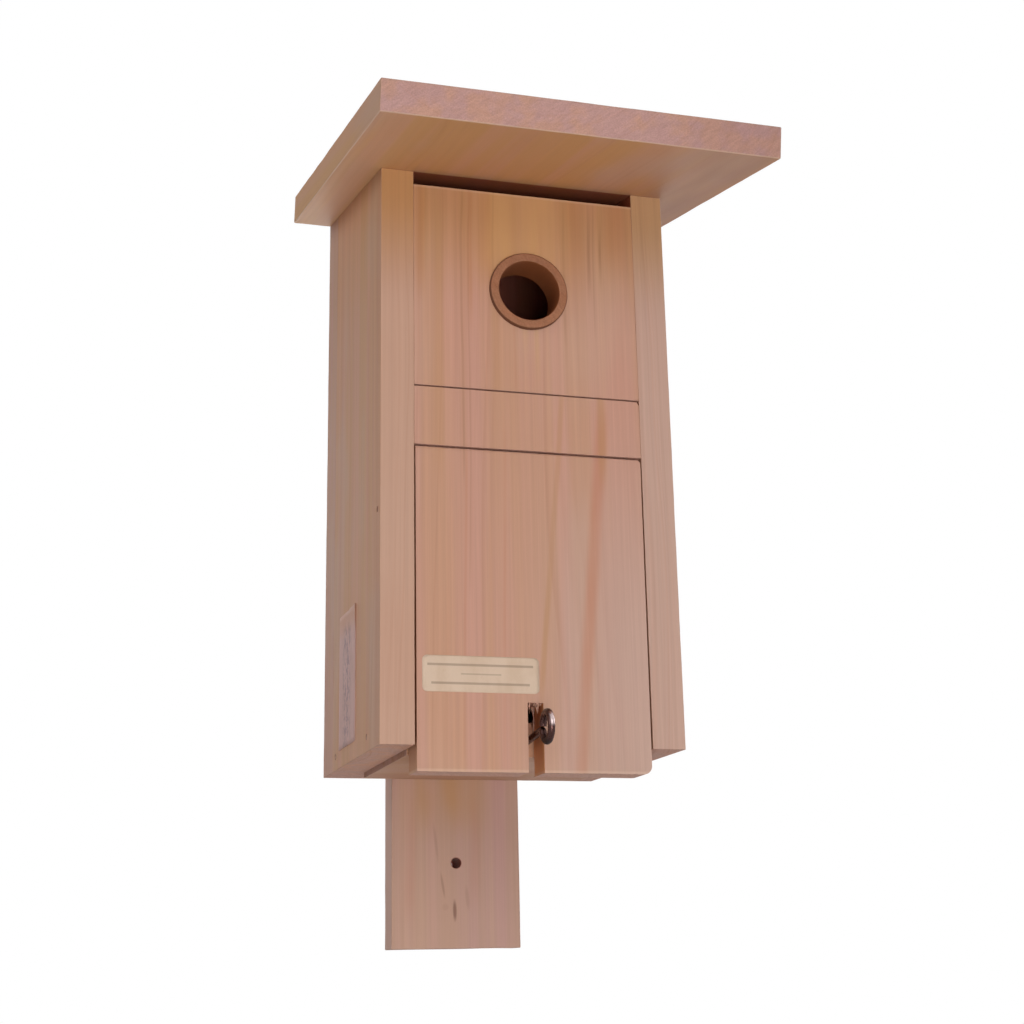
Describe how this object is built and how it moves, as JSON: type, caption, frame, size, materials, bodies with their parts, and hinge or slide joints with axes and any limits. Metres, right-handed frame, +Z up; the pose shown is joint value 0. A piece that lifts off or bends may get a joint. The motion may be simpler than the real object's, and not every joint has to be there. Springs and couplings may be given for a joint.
{
  "type": "nest box",
  "caption": "Wooden nest box for small birds: sloping roof, round entrance in a turned ring, hinged cleaning flap with a screw eye latch, and a batten to hang it by.",
  "frame": {"origin": "on the batten's back face, on the middle line of the box, level with the lower ends of the side walls", "axes": "+Z up, +Y out of the batten's back face into the post, the front of the box faces -Y, +X to the right seen from the front"},
  "size_m": [0.212, 0.2754, 0.5353],
  "materials": {
    "front_wood": "planed softwood, unfinished",
    "side_wood": "planed softwood, unfinished",
    "roof_wood": "planed softwood with sawn ends, unfinished",
    "back_wood": "planed softwood, unfinished",
    "ring_wood": "turned hardwood, unfinished",
    "bright_steel": "bright plated wire",
    "nail_steel": "plain nails and screws",
    "cream_paper": "paper label, bare",
    "pale_paper": "worn paper label, bare"
  },
  "bodies": {
    "box": {"batten": "back_wood", "back_board": "back_wood", "left_side": "side_wood", "right_side": "side_wood", "floor_board": "back_wood", "entrance_panel": "front_wood", "entrance_ring": "ring_wood", "front_rail": "front_wood", "roof_board": "roof_wood", "left_pivot_nail": "nail_steel", "right_pivot_nail": "nail_steel", "left_floor_nails": "nail_steel", "right_floor_nails": "nail_steel", "roof_screws": "nail_steel", "back_screws": "nail_steel", "batten_screws": "nail_steel", "side_label": "pale_paper"},
    "flap": {"flap": "front_wood", "front_label": "cream_paper"},
    "eye": {"screw_eye": "bright_steel"}
  },
  "joints": [
    {"name": "flap_swing", "type": "hinge", "parent": "box", "child": "flap", "pos_m": [0, -0.163, 0.1215], "axis": [-1, 0, 0], "range_deg": [0, 130]},
    {"name": "eye_turn", "type": "hinge", "parent": "box", "child": "eye", "pos_m": [0, -0.151, 0.0045], "axis": [0, -0.9962, 0.0872], "range_deg": [0, 90]}
  ]
}
